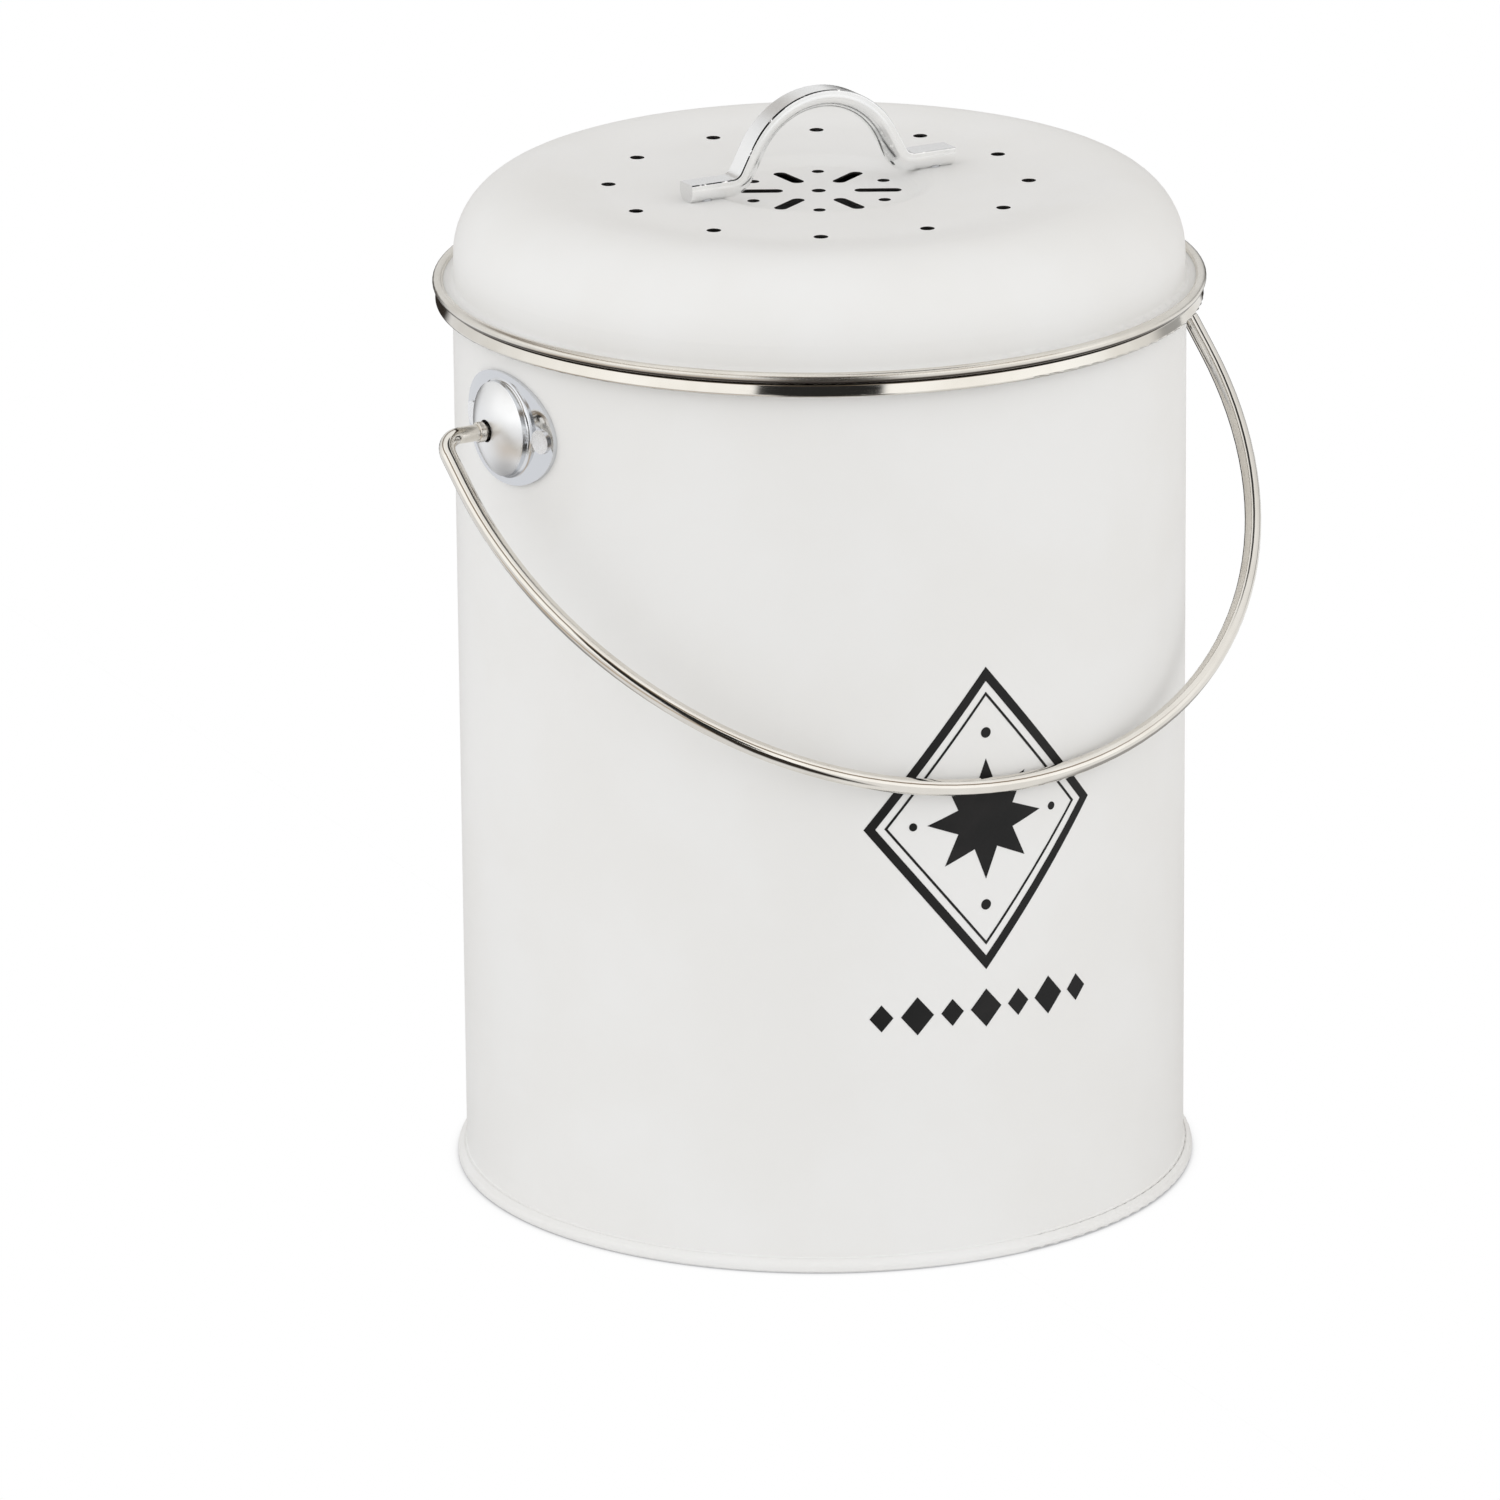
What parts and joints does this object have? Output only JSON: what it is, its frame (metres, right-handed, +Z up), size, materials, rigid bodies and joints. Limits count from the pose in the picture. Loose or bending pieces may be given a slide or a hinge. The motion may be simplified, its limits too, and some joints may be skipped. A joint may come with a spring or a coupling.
{
  "type": "countertop compost bin",
  "caption": "Round sheet-steel countertop compost bin with a seamed base, vented lift-off lid holding a charcoal filter, arched lid handle and a swinging wire bail.",
  "frame": {"origin": "centre of the standing ring, on the table", "axes": "+Z up along the bin's axis; X along the bail's pivots; the front, where the bail rests, faces -Y"},
  "size_m": [0.2178, 0.187, 0.27],
  "materials": {
    "white_coat": "fine matte powder coat",
    "rim_steel": "polished bare steel",
    "bail_steel": "polished wire",
    "bright_fittings": "bright plated, satin on the pressed domes",
    "zinc_screws": "zinc plated",
    "filter_plastic": "moulded, matte",
    "charcoal_felt": "felted carbon pad"
  },
  "bodies": {
    "bin": {"bin_wall": "white_coat", "bin_base": "white_coat", "bin_rim_bead": "rim_steel", "ear_left": "bright_fittings", "ear_right": "bright_fittings", "ear_left_rivets": "bright_fittings", "ear_right_rivets": "bright_fittings"},
    "bail": {"bail_handle": "bail_steel"},
    "lid": {"lid_dome": "white_coat", "lid_rim_bead": "rim_steel", "lid_collar": "white_coat", "lid_handle": "bright_fittings", "handle_screws": "zinc_screws", "handle_washers": "zinc_screws", "filter_seat": "filter_plastic"},
    "filter_cover": {"filter_cap": "filter_plastic", "charcoal_filter": "charcoal_felt"}
  },
  "joints": [
    {"name": "bail_swing", "type": "hinge", "parent": "bin", "child": "bail", "pos_m": [0, 0, 0.1994], "axis": [-1, 0, 0], "range_deg": [0, 262.4]},
    {"name": "lid_lift", "type": "slide", "parent": "bin", "child": "lid", "axis": [0, 0, 1], "range_m": [0, 0.1]},
    {"name": "filter_cap_pull", "type": "slide", "parent": "lid", "child": "filter_cover", "axis": [0, 0, -1], "range_m": [0, 0.025]}
  ]
}
